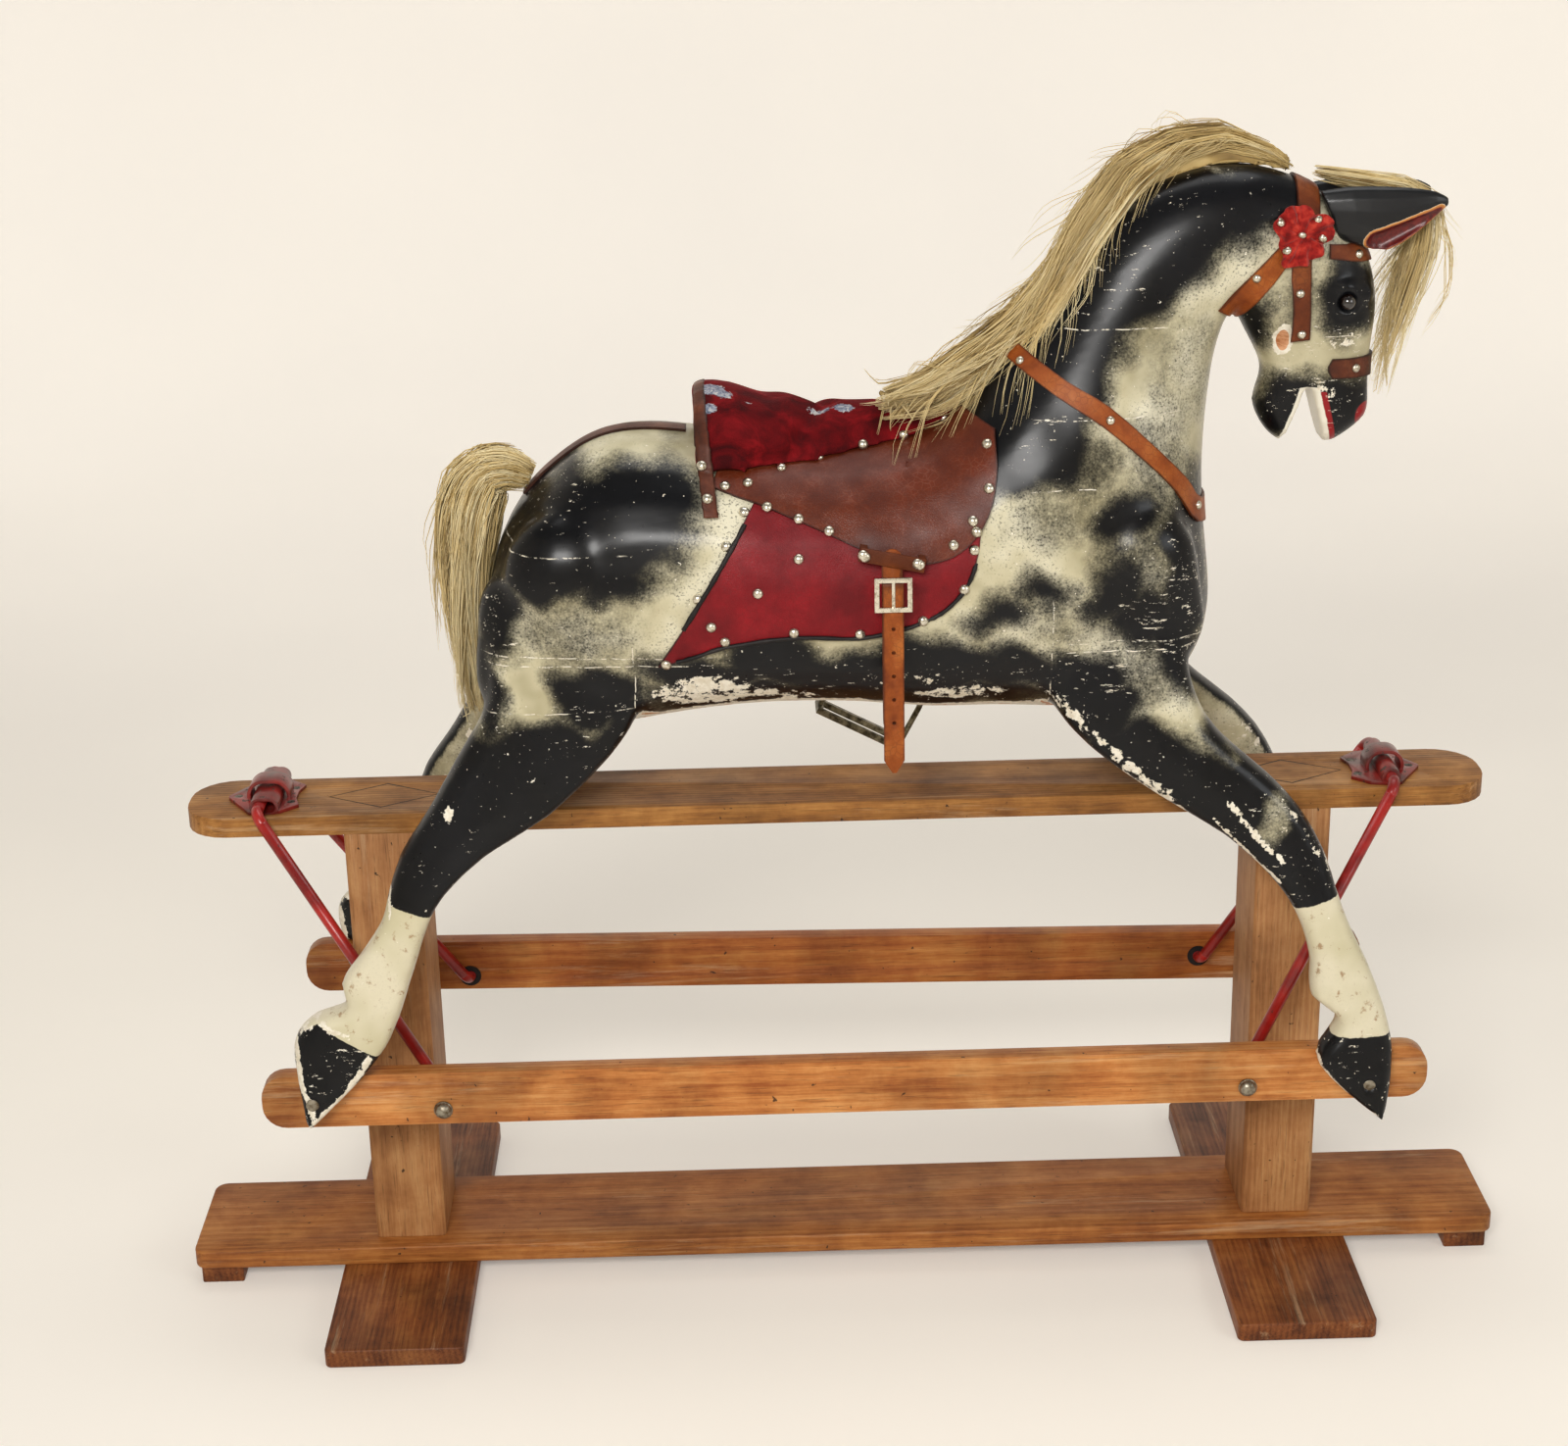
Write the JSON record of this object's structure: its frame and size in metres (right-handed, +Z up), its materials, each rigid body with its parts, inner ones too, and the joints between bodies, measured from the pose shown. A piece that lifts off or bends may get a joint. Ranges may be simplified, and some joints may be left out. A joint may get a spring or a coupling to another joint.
{
  "type": "rocking horse",
  "caption": "Carved wooden rocking horse with saddle, bridle and hair mane, hung by two bent swing irons from a post-and-rail safety stand.",
  "frame": {"origin": "on the floor, at the middle of the stand's footprint", "axes": "+X towards the horse's head, +Y to the horse's left, +Z up"},
  "size_m": [1.41, 0.476, 1.211],
  "materials": {
    "base_wood": "satin",
    "post_wood": "satin",
    "rail_wood": "satin",
    "hoof_rail_wood": "gloss",
    "red_iron": "gloss",
    "screw_steel": "satin",
    "nickel": "satin",
    "horse_paint": "gloss",
    "ear_paint": "gloss",
    "eye_glass": "gloss",
    "hair": "matt",
    "velvet": "matt",
    "saddle_leather": "satin",
    "red_leather": "satin",
    "tan_leather": "satin",
    "ribbon": "matt",
    "stirrup_bronze": "satin"
  },
  "bodies": {
    "stand": {"base_board": "base_wood", "cross_foot_front": "base_wood", "cross_foot_rear": "base_wood", "end_cleats": "base_wood", "post_front": "post_wood", "post_rear": "post_wood", "top_rail": "rail_wood", "diamond_patches": "rail_wood", "bracket_front": "red_iron", "bracket_rear": "red_iron", "bracket_screws": "screw_steel"},
    "front_iron": {"swing_iron_front": "red_iron", "axle_caps_front": "nickel"},
    "horse": {"hoof_rail_near": "hoof_rail_wood", "hoof_rail_far": "hoof_rail_wood", "hoof_bolts": "nickel", "leg_hind_near": "horse_paint", "leg_hind_far": "horse_paint", "leg_fore_near": "horse_paint", "leg_fore_far": "horse_paint", "belly_block": "horse_paint", "body_block": "horse_paint", "back_block": "horse_paint", "neck_block": "horse_paint", "crest_block": "horse_paint", "head": "horse_paint", "eyes": "eye_glass", "ear_near": "ear_paint", "ear_far": "ear_paint", "mane": "hair", "forelock": "hair", "tail": "hair", "seat_pad": "velvet", "saddle_flap_near": "saddle_leather", "saddle_flap_far": "saddle_leather", "saddle_cloth_near": "red_leather", "saddle_cloth_far": "red_leather", "cantle_strap": "saddle_leather", "crupper_strap": "saddle_leather", "breast_strap": "tan_leather", "headpiece": "tan_leather", "browband": "tan_leather", "noseband": "tan_leather", "throat_strap": "tan_leather", "cheek_strap_near": "tan_leather", "cheek_strap_far": "tan_leather", "rosette_near": "ribbon", "rosette_far": "ribbon", "stirrup_hanger_near": "saddle_leather", "stirrup_hanger_far": "saddle_leather"},
    "rear_iron": {"swing_iron_rear": "red_iron", "axle_caps_rear": "nickel"},
    "leather_near": {"stirrup_leather_near": "tan_leather", "buckle_near": "nickel"},
    "leather_far": {"stirrup_leather_far": "tan_leather", "buckle_far": "nickel"},
    "stirrup": {"stirrup_iron_far": "stirrup_bronze"}
  },
  "joints": [
    {"name": "front_swing", "type": "hinge", "parent": "stand", "child": "front_iron", "pos_m": [0.571, 0, 0.546], "axis": [0, 1, 0], "range_deg": [-12, 12]},
    {"name": "horse_pitch", "type": "hinge", "parent": "front_iron", "child": "horse", "pos_m": [0.4115, 0, 0.2575], "axis": [0, 1, 0], "range_deg": [-17, 17]},
    {"name": "rear_swing", "type": "hinge", "parent": "horse", "child": "rear_iron", "pos_m": [-0.4115, 0, 0.2575], "axis": [0, 1, 0], "range_deg": [-17, 17]},
    {"name": "near_leather_swing", "type": "hinge", "parent": "horse", "child": "leather_near", "pos_m": [0.052, -0.1475, 0.826], "axis": [0, 1, 0], "range_deg": [-25, 25]},
    {"name": "far_leather_swing", "type": "hinge", "parent": "horse", "child": "leather_far", "pos_m": [0.052, 0.1475, 0.826], "axis": [0, 1, 0], "range_deg": [-25, 25]},
    {"name": "stirrup_swing", "type": "hinge", "parent": "leather_far", "child": "stirrup", "pos_m": [0.052, 0.1536, 0.6326], "axis": [1, 0, 0], "range_deg": [-20, 20]}
  ],
  "couplings": [
    {"joint": "horse_pitch", "follows": "front_swing", "ratio": -1.4137},
    {"joint": "rear_swing", "follows": "front_swing", "ratio": 1.4137}
  ]
}
